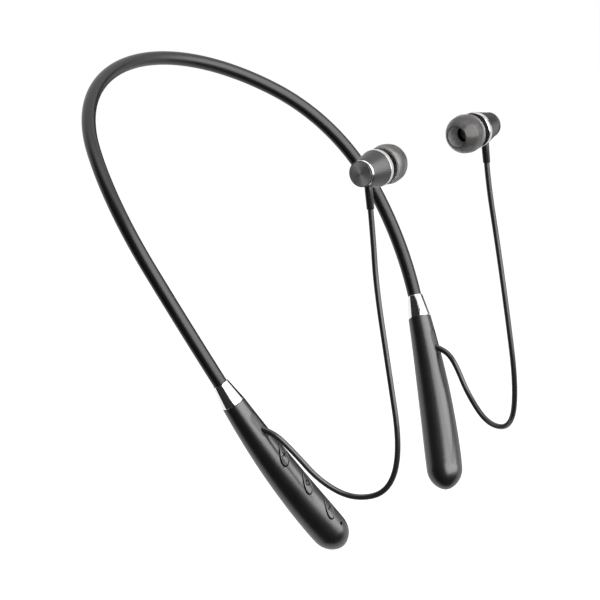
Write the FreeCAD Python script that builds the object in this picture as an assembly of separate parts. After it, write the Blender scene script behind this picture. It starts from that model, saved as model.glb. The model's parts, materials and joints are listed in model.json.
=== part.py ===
import FreeCAD, Part
import math
import os

# Neckband earphones, worn pose.  Millimetres, +Z up.  The wearer faces -Y and the wearer's
# left is +X.  The origin is the middle of the band where it rests on the nape.
# The left half is modelled, and the right half is its mirror image in X = 0.

Vec = FreeCAD.Vector
ORIGIN = Vec(0, 0, 0)
X_AXIS = Vec(1, 0, 0)
Z_AXIS = Vec(0, 0, 1)

# ---------------------------------------------------------------- driving dimensions
SLEEVE_D = 5.0                   # soft sleeve round the neck
SLEEVE_BORE = 2.6
SPRING_WIRE_D = 1.2
WIRING_D = 0.9
SPRING_WIRE_OFFSET = -0.63       # both lie side by side in the sleeve's bore
WIRING_OFFSET = 0.70

BAND_TILT = 37.0                 # the band drops this steeply as it leaves the nape
BAND_ARCS = (                    # twist of the bend plane, bend radius, sweep
    (0.0, 72.0, 54.0),
    (26.0, 72.0, 41.0),
    (12.0, 150.0, 17.5),
)
SLEEVE_INTO_COLLAR = 1.5
WIRES_INTO_POD = 14.5

POD_TWIST = -38.5                # bend plane of the pod, against that of the last band arc
POD_BEND = 320.0                 # the pod's own gentle curve
POD_START = 8.5                  # distances along the pod axis, from the end of the band
POD_SHOULDER = 67.0              # the rounded end begins here
POD_END = 75.0
POD_TIP_CORNER = 8.55            # the end's bend where it begins; it is tighter at the tip
POD_TIP_TURN = 60.0
POD_RADII = (                    # distance along the axis, outer radius
    (POD_START, 4.2),
    (18.5, 4.88),
    (28.5, 5.5),
    (38.5, 6.0),
    (48.5, 6.33),
    (58.5, 6.55),
    (POD_SHOULDER, 6.5),
)
POD_WALL = 1.1
CAVITY_START = 12.0
SEAM_DEPTH = 3.4                 # the shells part this far behind the pod axis
SEAM_GAP = 0.06
LIP_HEIGHT = 1.0
LIP_THICKNESS = 0.7
LIP_CLEARANCE = 0.12
SPIGOT_R = 3.1
SPIGOT_LENGTH = 2.0
WIRE_WAY_R = 1.7

COLLAR_TOP_R = 2.85
COLLAR_FOOT_R = 4.2
COLLAR_SEAM = 0.07
COLLAR_EDGE = 0.2
SEAT_CLEARANCE = 0.08            # round the sleeve and the spigot, inside the collar

BUTTONS = {                      # distance along the pod, turn about its axis
    "volume_up": (32.8, -1.0),
    "call": (46.25, 2.0),
    "volume_down": (58.7, 5.0),
}
BUTTON_SLANT = 33.0              # each oval key lies at this angle to the pod
BUTTON_LENGTH = 7.85
BUTTON_WIDTH = 3.25
BUTTON_GAP = 0.25
BUTTON_PROUD = 0.12
BUTTON_EDGE = 0.22               # rounding of each key's edge and of its opening
BUTTON_TABS = (9.4, 2.0, 0.6)
TAB_CLEARANCE = 0.15
NUB_R = 0.9

BOARD_STATION = 49.5
BOARD_SIZE = (39.0, 6.0, 0.8)
BOARD_FLOOR = 0.45
SWITCH_SIZE = (4.0, 3.0, 0.8)
PLUNGER_R = 0.8
PLUNGER_HEIGHT = 0.25
SWITCH_CLEARANCE = 0.5           # a little more than a button's travel of 0.35

PORT_STATION = 50.0
SOCKET_WIDTH = 8.9
SOCKET_HEIGHT = 3.1
SOCKET_LENGTH = 6.6
SOCKET_MOUTH = 4.8               # distance of the mouth from the pod axis
SOCKET_WALL = 0.3
SOCKET_BACK_WALL = 1.0
SOCKET_TONGUE = (6.6, 0.7, 4.0)
SOCKET_CLEARANCE = 0.15          # round the socket, in the front shell
PORT_HEIGHT = BOARD_FLOOR - SOCKET_HEIGHT / 2
FLAP_LENGTH = 14.0
FLAP_WIDTH = 3.9
FLAP_THICKNESS = 0.6
FLAP_GAP = 0.15
PLUG_WIDTH = 7.6
PLUG_HEIGHT = 1.9
PLUG_REACH = 4.3

MIC_STATION = 66.0
MIC_HOLE_R = 0.65
MIC_SIZE = (3.0, 2.8, 1.0)
MIC_BOOT_R = 1.3
MIC_BOOT_TOP = 5.08

BATTERY_STATION = 51.0
BATTERY_LENGTH = 34.0
BATTERY_R = 3.3
BATTERY_EDGE = 0.4
BATTERY_CLEARANCE = 0.05
BATTERY_RAISED = 0.7             # its axis stands this far above the pod's
PROTECTION_STATION = 25.5
PROTECTION_SIZE = (8.0, 4.6, 0.8)
PROTECTION_FLOOR = -0.6

BOARD_RIBS = (33.0, 63.0)        # where the back shells carry what lies in them
BATTERY_RIBS = (40.0, 62.0)
RIB_THICKNESS = 1.2
RIB_WIDTH = 3.0

GROMMET_STATION = 19.1
GROMMET_LENGTH = 9.8
GROMMET_WIDTH = 4.1
GROMMET_SUNK = 0.3
GROMMET_FLOOR = 2.6
GROMMET_CLEARANCE = 0.06
CORD_HOLE_CLEARANCE = 0.04

BUD_FACE_X = 44.4                # the flat cap of each bud, worn
BUD_Y = -123.1
BUD_Z = -16.7
STEM_TOP_R = 1.4
STEM_FOOT_R = 1.2
STEM_ROOT = 3.0                  # distance of the stem's inner end from the bud axis

CORD_D = 2.0
LEFT_CORD_ROUTE = (
    (59.5, -92.5, -107.0), (59.0, -97.5, -107.5), (57.0, -103.0, -111.0),
    (55.5, -109.5, -122.0), (50.5, -121.0, -130.5), (44.5, -134.0, -127.5),
    (40.5, -137.5, -110.0), (40.5, -133.5, -84.0), (41.0, -128.5, -57.0),
    (40.0, -125.5, -38.5), (40.0, -124.5, -29.5),
)
RIGHT_CORD_ROUTE = (
    (-59.5, -92.5, -107.0), (-59.0, -97.5, -107.5), (-56.5, -104.0, -114.0),
    (-53.0, -113.0, -124.5), (-49.0, -124.0, -130.0), (-45.0, -135.5, -126.5),
    (-43.5, -139.0, -111.0), (-42.5, -133.5, -84.0), (-41.0, -127.5, -56.0),
    (-40.0, -125.5, -38.5), (-40.0, -124.5, -29.5),
)


# ---------------------------------------------------------------- general helpers
def moved(shape, placement):
    """A copy of the shape carried from its own frame into the placement's."""
    result = shape.copy()
    result.Placement = placement.multiply(result.Placement)
    return result


def mirrored(shape):
    """The wearer's right-hand twin of a left-hand shape."""
    return shape.mirror(ORIGIN, X_AXIS)


def fused(shapes):
    whole = shapes[0].multiFuse(shapes[1:])
    return whole.removeSplitter()


def turned(outline):
    """A body of revolution about X from its closed half outline of (x, radius) points."""
    points = [Vec(x, radius, 0) for x, radius in outline]
    wire = Part.makePolygon(points + points[:1])
    return Part.Face(wire).revolve(ORIGIN, X_AXIS, 360)


def disc_along_x(radius, x_from, x_to):
    return Part.makeCylinder(radius, x_to - x_from, Vec(x_from, 0, 0), X_AXIS)


def block(size, centre_x, centre_y, floor):
    """A box given by its middle in plan and the height of its underside."""
    length, width, height = size
    corner = Vec(centre_x - length / 2, centre_y - width / 2, floor)
    return Part.makeBox(length, width, height, corner)


def capsule_face(length, width):
    """A slot-shaped face in the XY plane, long in X."""
    half = (length - width) / 2
    radius = width / 2
    top = Part.LineSegment(Vec(-half, radius, 0), Vec(half, radius, 0))
    right = Part.Arc(Vec(half, radius, 0), Vec(half + radius, 0, 0), Vec(half, -radius, 0))
    bottom = Part.LineSegment(Vec(half, -radius, 0), Vec(-half, -radius, 0))
    left = Part.Arc(Vec(-half, -radius, 0), Vec(-half - radius, 0, 0), Vec(-half, radius, 0))
    edges = [curve.toShape() for curve in (top, right, bottom, left)]
    return Part.Face(Part.Wire(edges))


def capsule(length, width, z_from, z_to):
    face = capsule_face(length, width)
    face.translate(Vec(0, 0, z_from))
    return face.extrude(Vec(0, 0, z_to - z_from))


def oval(length, width, z_from, z_to):
    ellipse = Part.Ellipse(Vec(0, 0, z_from), length / 2, width / 2)
    face = Part.Face(Part.Wire(ellipse.toShape()))
    return face.extrude(Vec(0, 0, z_to - z_from))


# ---------------------------------------------------------------- band
def band_frames():
    """Each band arc's centre, axis and sweep, and the frame at the end of the last one."""
    tilt = math.radians(BAND_TILT)
    point = ORIGIN
    tangent = X_AXIS
    normal = Vec(0, -math.cos(tilt), -math.sin(tilt))
    arcs = []
    for twist, radius, sweep in BAND_ARCS:
        normal = FreeCAD.Rotation(tangent, twist).multVec(normal)
        axis = tangent.cross(normal)
        centre = point + normal * radius
        arcs.append((centre, axis, sweep))
        turn = FreeCAD.Rotation(axis, sweep)
        point = centre + turn.multVec(point - centre)
        tangent = turn.multVec(tangent)
        normal = turn.multVec(normal)
    return arcs, point, tangent, normal


def along_band(section, run_out):
    """Carry a section, drawn at the nape in the plane X = 0, round both arms."""
    arcs, _, tangent, _ = band_frames()
    pieces = []
    face = section
    for centre, axis, sweep in arcs:
        pieces.append(face.revolve(centre, axis, sweep))
        face = face.copy()
        face.rotate(centre, axis, sweep)
    pieces.append(face.extrude(tangent * run_out))
    arm = fused(pieces)
    return fused([arm, mirrored(arm)])


def wire_face(diameter, offset=0.0):
    """A round section at the nape, set to one side of the band's centre line."""
    tilt = math.radians(BAND_TILT)
    centre = Vec(0, math.sin(tilt), -math.cos(tilt)) * offset
    return Part.Face(Part.Wire(Part.Circle(centre, X_AXIS, diameter / 2).toShape()))


def pod_placement():
    """The left pod's frame: X down the pod, Z out of its button face."""
    _, point, tangent, normal = band_frames()
    bend = FreeCAD.Rotation(tangent, POD_TWIST).multVec(normal)
    side = bend * -1
    face = tangent.cross(side)
    return FreeCAD.Placement(point, FreeCAD.Rotation(tangent, side, face, "XYZ"))


# ---------------------------------------------------------------- pods
def station(distance):
    """A frame on the pod's curved axis, in the pod's own frame."""
    angle = distance / POD_BEND
    spot = Vec(POD_BEND * math.sin(angle), POD_BEND * (math.cos(angle) - 1), 0)
    return FreeCAD.Placement(spot, FreeCAD.Rotation(Z_AXIS, -math.degrees(angle)))


def at_station(shape, distance):
    return moved(shape, station(distance))


def pod_radius(distance):
    for (near, near_r), (far, far_r) in zip(POD_RADII, POD_RADII[1:]):
        if distance <= far:
            return near_r + (far_r - near_r) * (distance - near) / (far - near)
    return POD_RADII[-1][1]


def pod_tip(inset):
    """The rounded end: a long arc off the pod's side that runs on into a tighter one."""
    turn = math.radians(POD_TIP_TURN)
    shoulder = pod_radius(POD_SHOULDER) - inset
    corner = POD_TIP_CORNER - inset
    hub = shoulder - corner
    dome = corner + hub / math.cos(turn)
    dome_x = -hub * math.tan(turn)
    corner_points = [
        Vec(corner * math.sin(angle), hub + corner * math.cos(angle), 0)
        for angle in (0, turn / 2, turn)
    ]
    dome_points = [
        Vec(dome_x + dome * math.sin(angle), dome * math.cos(angle), 0)
        for angle in (turn, (turn + math.pi / 2) / 2, math.pi / 2)
    ]
    edges = [Part.Arc(*corner_points).toShape(), Part.Arc(*dome_points).toShape()]
    edges.append(Part.makeLine(dome_points[2], ORIGIN))
    edges.append(Part.makeLine(ORIGIN, corner_points[0]))
    return Part.Face(Part.Wire(edges)).revolve(ORIGIN, X_AXIS, 360)


def pod_form(inset, start=POD_START):
    """The pod's moulded form, drawn in by the inset, with its rounded end."""
    stops = [start] + [place for place, _ in POD_RADII if place > start]
    rings = []
    for stop in stops:
        circle = Part.Circle(ORIGIN, X_AXIS, pod_radius(stop) - inset)
        rings.append(at_station(Part.Wire(circle.toShape()), stop))
    body = Part.makeLoft(rings, True, False)
    return body.fuse(at_station(pod_tip(inset), POD_SHOULDER))


def pod_slab(z_from, z_to):
    """All of the pod's length and width, between two depths."""
    reach = 2 * POD_END
    return Part.makeBox(reach, reach, z_to - z_from, Vec(-10, -reach / 2, z_from))


def pod_casing():
    """The whole hollow pod before it is parted, with the spigot that the collar grips."""
    spigot = at_station(disc_along_x(SPIGOT_R, -SPIGOT_LENGTH, 1), POD_START)
    wire_way = at_station(disc_along_x(WIRE_WAY_R, -SPIGOT_LENGTH - 1, 5), POD_START)
    casing = pod_form(0).fuse(spigot).cut(wire_way)
    return casing.cut(pod_form(POD_WALL, CAVITY_START))


def locating_lip():
    """A low wall on the back shell that stands inside the front shell's rim."""
    rim = -SEAM_DEPTH - SEAM_GAP
    fit = POD_WALL + LIP_CLEARANCE
    inner = pod_form(fit + LIP_THICKNESS, CAVITY_START + 2.8)
    standing = pod_form(fit, CAVITY_START + 2).cut(inner)
    standing = standing.common(pod_slab(rim - 0.5, rim + LIP_HEIGHT))
    root = pod_form(POD_WALL - 0.3, CAVITY_START + 2).cut(inner)
    root = root.common(pod_slab(rim - 0.8, rim - 0.1))
    return standing.fuse(root)


def support_rib(distance, top):
    """A rib that rises from the back shell's inner face."""
    foot = -pod_radius(distance)
    rib = at_station(block((RIB_THICKNESS, RIB_WIDTH, top - foot), 0, 0, foot), distance)
    return rib.common(pod_form(POD_WALL / 2, CAVITY_START))


def back_shell(casing, ribs):
    shell = casing.common(pod_slab(-10, -SEAM_DEPTH - SEAM_GAP))
    return shell.multiFuse([locating_lip()] + ribs).removeSplitter()


def battery_pod_back(casing):
    ribs = [support_rib(place, 0) for place in BATTERY_RIBS]
    ribs.append(support_rib(PROTECTION_STATION, PROTECTION_FLOOR))
    return back_shell(casing, ribs).cut(battery_form(BATTERY_R + BATTERY_CLEARANCE))


def control_pod_back(casing):
    ribs = [support_rib(place, BOARD_FLOOR) for place in BOARD_RIBS]
    notch = sideways(capsule(SOCKET_WIDTH + 0.4, SOCKET_HEIGHT + 0.4, 2.0, 6.0))
    return back_shell(casing, ribs).cut(notch)


def grommet_opening(margin):
    length = GROMMET_LENGTH + 2 * margin
    width = GROMMET_WIDTH + 2 * margin
    return at_station(capsule(length, width, 2.0, 8.0), GROMMET_STATION)


def front_shell(casing):
    shell = casing.common(pod_slab(-SEAM_DEPTH, 10))
    return shell.cut(grommet_opening(GROMMET_CLEARANCE))


def cord_grommet(route):
    """The insert that the cord comes out of, sunk a little below the pod's surface."""
    plug = capsule(GROMMET_LENGTH, GROMMET_WIDTH, GROMMET_FLOOR, 8.0)
    body = at_station(plug, GROMMET_STATION).common(pod_form(GROMMET_SUNK))
    start = Vec(*route[0])
    way_out = Vec(*route[1]) - start
    hole = Part.makeCylinder(CORD_D / 2 + CORD_HOLE_CLEARANCE, 12, start, way_out)
    return moved(body, pod_placement()).cut(hole)


def collar():
    """The polished cone that joins the sleeve to the pod."""
    top = -POD_START / 2
    foot = POD_START / 2 - COLLAR_SEAM
    edge = COLLAR_EDGE
    outline = (
        (top, SLEEVE_D / 2 + SEAT_CLEARANCE), (top, COLLAR_TOP_R - edge), (top + edge, COLLAR_TOP_R),
        (foot - edge, COLLAR_FOOT_R - 0.05), (foot, COLLAR_FOOT_R - edge),
        (foot, SPIGOT_R + SEAT_CLEARANCE), (foot - SPIGOT_LENGTH, SPIGOT_R + SEAT_CLEARANCE),
        (foot - SPIGOT_LENGTH, WIRE_WAY_R), (top + SLEEVE_INTO_COLLAR + 0.1, WIRE_WAY_R),
        (top + SLEEVE_INTO_COLLAR + 0.1, SLEEVE_D / 2 + SEAT_CLEARANCE),
    )
    return at_station(turned(outline), POD_START / 2)


def wire_anchor():
    """The crimp block that holds the end of the spring wire between the shells."""
    outline = ((0, 0), (0, 2.6), (0.3, 2.9), (4.7, 2.9), (5.0, 2.6), (5.0, 0))
    anchor = at_station(turned(outline), CAVITY_START + 0.2)
    return moved(anchor.common(pod_slab(-2.3, 2.5)), pod_placement())


# ---------------------------------------------------------------- control pod
def button_frame(name):
    """A key's frame on the pod: Z points out of the key, along its press."""
    distance, turn = BUTTONS[name]
    leaning = FreeCAD.Placement(ORIGIN, FreeCAD.Rotation(X_AXIS, turn))
    return station(distance).multiply(leaning)


def key_outline(margin, z_from, z_to):
    """A key's slanted oval, grown by the margin, between two heights."""
    form = oval(BUTTON_LENGTH + 2 * margin, BUTTON_WIDTH + 2 * margin, z_from, z_to)
    form.rotate(ORIGIN, Z_AXIS, BUTTON_SLANT)
    return form


def rounded_rim(shape, name, margin):
    """Round the edge where a key's outline, grown by the margin, meets the pod's outside."""
    to_key = FreeCAD.Placement(ORIGIN, FreeCAD.Rotation(Z_AXIS, -BUTTON_SLANT))
    to_key = to_key.multiply(button_frame(name).inverse())
    distance, _ = BUTTONS[name]
    mid_wall = pod_radius(distance) - POD_WALL / 2
    rim = []
    for edge in shape.Edges:
        spot = to_key.multVec(edge.valueAt((edge.FirstParameter + edge.LastParameter) / 2))
        across_length = spot.x / (BUTTON_LENGTH / 2 + margin)
        across_width = spot.y / (BUTTON_WIDTH / 2 + margin)
        on_outline = abs(across_length ** 2 + across_width ** 2 - 1) < 0.02
        if on_outline and math.hypot(spot.y, spot.z) > mid_wall:
            rim.append(edge)
    return shape.makeFillet(BUTTON_EDGE, rim)


def button_seat(name):
    """Height of the shell's inner face above a button's end tabs."""
    distance, _ = BUTTONS[name]
    length, width, _ = BUTTON_TABS
    inner_r = pod_radius(distance - length / 2) - POD_WALL
    return math.sqrt(inner_r ** 2 - (width / 2 + 0.2) ** 2) - TAB_CLEARANCE


def button(name):
    """A key cap that follows the pod's surface, with two tabs and a nub underneath."""
    seat = button_seat(name)
    floor = seat - BUTTON_TABS[2]
    key = moved(key_outline(0, floor, 8.0), button_frame(name))
    key = rounded_rim(key.common(pod_form(-BUTTON_PROUD)), name, 0)
    tabs = block(BUTTON_TABS, 0, 0, floor)
    nub_foot = BOARD_FLOOR + BOARD_SIZE[2] + SWITCH_SIZE[2] + PLUNGER_HEIGHT + SWITCH_CLEARANCE
    nub = Part.makeCylinder(NUB_R, seat - nub_foot, Vec(0, 0, nub_foot))
    whole = key.fuse(moved(tabs.fuse(nub), button_frame(name)))
    return moved(whole.removeSplitter(), pod_placement())


def tact_switch(name):
    """A switch on the board, in line with the nub of the key above it."""
    distance, turn = BUTTONS[name]
    board_top = BOARD_FLOOR + BOARD_SIZE[2]
    body_top = board_top + SWITCH_SIZE[2]
    aside = -body_top * math.tan(math.radians(turn))
    body = block(SWITCH_SIZE, 0, aside, board_top)
    plunger = Part.makeCylinder(PLUNGER_R, PLUNGER_HEIGHT, Vec(0, aside, body_top))
    return moved(at_station(body.fuse(plunger), distance), pod_placement())


def circuit_board():
    board = at_station(block(BOARD_SIZE, 0, 0, BOARD_FLOOR), BOARD_STATION)
    return moved(board, pod_placement())


def sideways(shape):
    """Turn a shape drawn along Z so that it points out of the pod's inner side."""
    facing = FreeCAD.Placement(Vec(0, 0, PORT_HEIGHT), FreeCAD.Rotation(X_AXIS, 90))
    return at_station(moved(shape, facing), PORT_STATION)


def charging_socket():
    back = SOCKET_MOUTH - SOCKET_LENGTH
    shell = capsule(SOCKET_WIDTH, SOCKET_HEIGHT, back, SOCKET_MOUTH)
    inside = capsule(SOCKET_WIDTH - 2 * SOCKET_WALL, SOCKET_HEIGHT - 2 * SOCKET_WALL,
                     back + SOCKET_BACK_WALL, SOCKET_MOUTH + 1)
    tongue = block(SOCKET_TONGUE, 0, 0, back + SOCKET_BACK_WALL - 0.1)
    return moved(sideways(shell.cut(inside).fuse(tongue)), pod_placement())


def flap_plate(margin, thickness):
    """The part of the pod's wall that the port flap takes up."""
    prism = sideways(capsule(FLAP_LENGTH + 2 * margin, FLAP_WIDTH + 2 * margin, 2.0, 9.0))
    return prism.common(pod_form(-0.02)).cut(pod_form(thickness))


def port_opening():
    width = SOCKET_WIDTH + 2 * SOCKET_CLEARANCE
    height = SOCKET_HEIGHT + 2 * SOCKET_CLEARANCE
    mouth = sideways(capsule(width, height, 3.4, 9.0))
    return mouth.fuse(flap_plate(FLAP_GAP, FLAP_THICKNESS + 0.06))


def port_flap():
    plate = flap_plate(0, FLAP_THICKNESS)
    plug = capsule(PLUG_WIDTH, PLUG_HEIGHT, PLUG_REACH, SOCKET_MOUTH + 1.1)
    return moved(plate.fuse(sideways(plug)), pod_placement())


def microphone():
    """The microphone on the board, with the rubber boot that joins it to its hole."""
    board_top = BOARD_FLOOR + BOARD_SIZE[2]
    body_top = board_top + MIC_SIZE[2]
    body = block(MIC_SIZE, 0, 0, board_top)
    boot = Part.makeCylinder(MIC_BOOT_R, MIC_BOOT_TOP - body_top, Vec(0, 0, body_top))
    passage = Part.makeCylinder(MIC_HOLE_R, MIC_BOOT_TOP, Vec(0, 0, body_top))
    whole = body.fuse(boot.cut(passage))
    return moved(at_station(whole, MIC_STATION), pod_placement())


def control_pod_front(casing):
    shell = front_shell(casing)
    for name in BUTTONS:
        opening = moved(key_outline(BUTTON_GAP, 2.0, 8.0), button_frame(name))
        shell = rounded_rim(shell.cut(opening), name, BUTTON_GAP)
    mic_hole = Part.makeCylinder(MIC_HOLE_R, 6, Vec(0, 0, 3))
    shell = shell.cut(at_station(mic_hole, MIC_STATION))
    return shell.cut(port_opening())


# ---------------------------------------------------------------- battery pod
def battery_form(radius):
    """A round cell lying along the pod, in the pod's own frame."""
    half = BATTERY_LENGTH / 2
    edge = BATTERY_EDGE
    cell = turned((
        (-half, 0), (-half, radius - edge), (edge - half, radius),
        (half - edge, radius), (half, radius - edge), (half, 0),
    ))
    cell.translate(Vec(0, 0, BATTERY_RAISED))
    return at_station(cell, BATTERY_STATION)


def battery_cell():
    return moved(battery_form(BATTERY_R), pod_placement())


def protection_board():
    board = at_station(block(PROTECTION_SIZE, 0, 0, PROTECTION_FLOOR), PROTECTION_STATION)
    return moved(board, pod_placement())


# ---------------------------------------------------------------- earbuds
def bud_part(outline):
    """A turned piece of the left bud: x runs from the flat cap towards the ear."""
    half_turn = FreeCAD.Rotation(Z_AXIS, 180)
    return moved(turned(outline), FreeCAD.Placement(Vec(BUD_FACE_X, BUD_Y, BUD_Z), half_turn))


def stem_line():
    """The foot of the left bud's stem and the direction from there up to the bud."""
    foot = Vec(*LEFT_CORD_ROUTE[-1])
    upward = foot - Vec(*LEFT_CORD_ROUTE[-2])
    return foot, upward.normalize()


def bud_shell():
    outline = (
        (2.45, 3.3), (2.45, 4.4), (2.7, 4.58), (5.2, 5.3), (8.0, 5.98), (9.3, 6.26),
        (9.9, 6.3), (9.9, 5.6), (8.8, 5.55), (2.85, 3.8), (2.85, 3.3),
    )
    foot, upward = stem_line()
    hole = Part.makeCylinder(STEM_TOP_R + 0.05, 14, foot, upward)
    lower_half = Part.makeBox(30, 30, 30, Vec(BUD_FACE_X - 20, BUD_Y - 15, BUD_Z - 30))
    return bud_part(outline).cut(hole.common(lower_half))


def rear_cap():
    return bud_part((
        (0, 0), (0, 4.12), (0.12, 4.25), (0.4, 4.38), (0.85, 4.38), (0.85, 3.22),
        (2.3, 3.22), (2.3, 2.95), (0.85, 2.95), (0.85, 0),
    ))


def rear_ring():
    return bud_part((
        (0.9, 3.28), (0.9, 3.95), (1.2, 4.05), (2.1, 4.45), (2.4, 4.45), (2.4, 3.28),
    ))


def magnet():
    return bud_part(((0.9, 0), (0.9, 2.85), (2.2, 2.85), (2.2, 0)))


def front_ring():
    return bud_part((
        (9.95, 5.05), (9.95, 6.3), (10.15, 6.42), (11.75, 6.42), (11.95, 6.3), (11.95, 5.05),
    ))


def nozzle():
    """Black front plate with the sound tube, and the lip that holds the tip."""
    return bud_part((
        (10.8, 5.0), (12.0, 5.0), (12.0, 5.75), (12.3, 5.85), (13.5, 5.6), (14.0, 5.0),
        (14.2, 2.6), (17.2, 2.6), (17.5, 2.9), (18.0, 2.9), (18.5, 2.6), (18.5, 1.9),
        (13.0, 1.9), (13.0, 3.4), (10.8, 4.2),
    ))


def mesh():
    return bud_part(((17.6, 0), (17.6, 1.88), (17.8, 1.88), (17.8, 0)))


def driver():
    return bud_part((
        (6.4, 0), (6.4, 3.0), (8.2, 3.0), (8.2, 4.9), (10.6, 4.9), (10.6, 0),
    ))


def ear_tip():
    """A mushroom of soft silicone: a thin skirt folded back over a core tube."""
    skirt = (
        (14.4, 6.05), (15.0, 6.45), (16.2, 6.78), (17.4, 6.88), (18.8, 6.78), (20.4, 6.35),
        (21.8, 5.6), (22.9, 4.7), (23.5, 4.1), (23.7, 3.8),
    )
    opening = ((23.5, 3.5), (19.3, 3.1), (19.0, 2.97), (14.7, 2.97), (14.7, 3.6))
    under = (
        (21.7, 3.85), (22.0, 4.3), (21.1, 5.1), (19.8, 5.75), (18.5, 6.15), (17.3, 6.28),
        (16.2, 6.2), (14.6, 5.75),
    )
    return bud_part(skirt + opening + under)


def strain_relief():
    foot, upward = stem_line()
    axis_height = (BUD_Z - foot.z) / upward.z
    length = axis_height - STEM_ROOT
    outline = (
        (0, 0), (0, STEM_FOOT_R - 0.1), (0.15, STEM_FOOT_R), (length - 2.2, STEM_TOP_R),
        (length - 0.4, STEM_TOP_R), (length - 0.4, STEM_TOP_R + 0.12),
        (length, STEM_TOP_R + 0.12), (length, 0),
    )
    stem = turned(outline)
    turn = FreeCAD.Rotation(X_AXIS, upward)
    return moved(stem, FreeCAD.Placement(foot, turn))


# ---------------------------------------------------------------- cords
def cord_tube(name, route):
    """Straight runs joined by tangent arcs, each arc as large as its two runs allow."""
    points = [Vec(*spot) for spot in route]
    edges = []
    radii = []
    last = points[0]
    for before, corner, after in zip(points, points[1:], points[2:]):
        back = (before - corner).normalize()
        ahead = (after - corner).normalize()
        half_turn = (math.pi - back.getAngle(ahead)) / 2
        reach = 0.45 * min(before.distanceToPoint(corner), corner.distanceToPoint(after))
        radius = reach / math.tan(half_turn)
        enter = corner + back * reach
        leave = corner + ahead * reach
        towards_centre = (back + ahead).normalize()
        middle = corner + towards_centre * (radius / math.cos(half_turn) - radius)
        edges.append(Part.LineSegment(last, enter).toShape())
        edges.append(Part.Arc(enter, middle, leave).toShape())
        radii.append(round(radius, 1))
        last = leave
    edges.append(Part.LineSegment(last, points[-1]).toShape())
    path = Part.Wire(edges)
    section = Part.Wire(Part.Circle(points[0], points[1] - points[0], CORD_D / 2).toShape())
    tube = path.makePipeShell([section], True, False)
    expected = math.pi * (CORD_D / 2) ** 2 * path.Length
    print(name, "length", round(path.Length, 1), "radii", radii,
          "volume ratio", round(tube.Volume / expected, 4))
    return tube


# ---------------------------------------------------------------- assembly
def build_band():
    sleeve_ring = wire_face(SLEEVE_D).cut(wire_face(SLEEVE_BORE)).Faces[0]
    return {
        "neckband_sleeve": along_band(sleeve_ring, SLEEVE_INTO_COLLAR),
        "spring_wire": along_band(wire_face(SPRING_WIRE_D, SPRING_WIRE_OFFSET), WIRES_INTO_POD),
        "band_wiring": along_band(wire_face(WIRING_D, WIRING_OFFSET), WIRES_INTO_POD),
    }


def build_pods(wires):
    frame = pod_placement()
    casing = pod_casing()
    left = {
        "collar": moved(collar(), frame),
        "wire_anchor": wire_anchor().cut(wires),
    }
    nodes = {}
    for name, shape in left.items():
        nodes["left_" + name] = shape
        nodes["right_" + name] = mirrored(shape)
    grommet = cord_grommet(LEFT_CORD_ROUTE)
    nodes["left_cord_grommet"] = grommet
    nodes["right_cord_grommet"] = mirrored(grommet)
    nodes["left_pod_front"] = moved(front_shell(casing), frame)
    nodes["left_pod_back"] = moved(battery_pod_back(casing), frame)
    nodes["right_pod_front"] = mirrored(moved(control_pod_front(casing), frame))
    nodes["right_pod_back"] = mirrored(moved(control_pod_back(casing), frame))
    return nodes


def build_electronics():
    nodes = {
        "battery_cell": battery_cell(),
        "protection_board": protection_board(),
        "circuit_board": mirrored(circuit_board()),
        "charging_socket": mirrored(charging_socket()),
        "port_flap": mirrored(port_flap()),
        "microphone": mirrored(microphone()),
    }
    for name in BUTTONS:
        nodes[name + "_button"] = mirrored(button(name))
        nodes[name + "_switch"] = mirrored(tact_switch(name))
    return nodes


def build_buds():
    makers = {
        "bud_shell": bud_shell, "bud_cap": rear_cap, "bud_rear_ring": rear_ring,
        "bud_magnet": magnet, "bud_front_ring": front_ring, "bud_nozzle": nozzle,
        "bud_mesh": mesh, "bud_driver": driver, "ear_tip": ear_tip,
        "strain_relief": strain_relief,
    }
    nodes = {}
    for name, maker in makers.items():
        shape = maker()
        nodes["left_" + name] = shape
        nodes["right_" + name] = mirrored(shape)
    return nodes


def build_cords():
    return {
        "left_cord": cord_tube("left_cord", LEFT_CORD_ROUTE),
        "right_cord": cord_tube("right_cord", RIGHT_CORD_ROUTE),
    }


def main():
    nodes = build_band()
    wires = nodes["spring_wire"].fuse(nodes["band_wiring"])
    nodes.update(build_pods(wires))
    nodes.update(build_electronics())
    nodes.update(build_buds())
    nodes.update(build_cords())
    os.makedirs("parts", exist_ok=True)
    for name, shape in nodes.items():
        solids = shape.Solids
        if len(solids) != 1 or not shape.isValid():
            print("CHECK", name, "solids", len(solids), "valid", shape.isValid())
        solids[0].exportStep("parts/" + name + ".step")
    print(len(nodes), "nodes")


main()
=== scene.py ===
import json
import math

import bmesh
import bpy
from mathutils import Matrix, Vector
from mathutils.bvhtree import BVHTree


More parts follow.
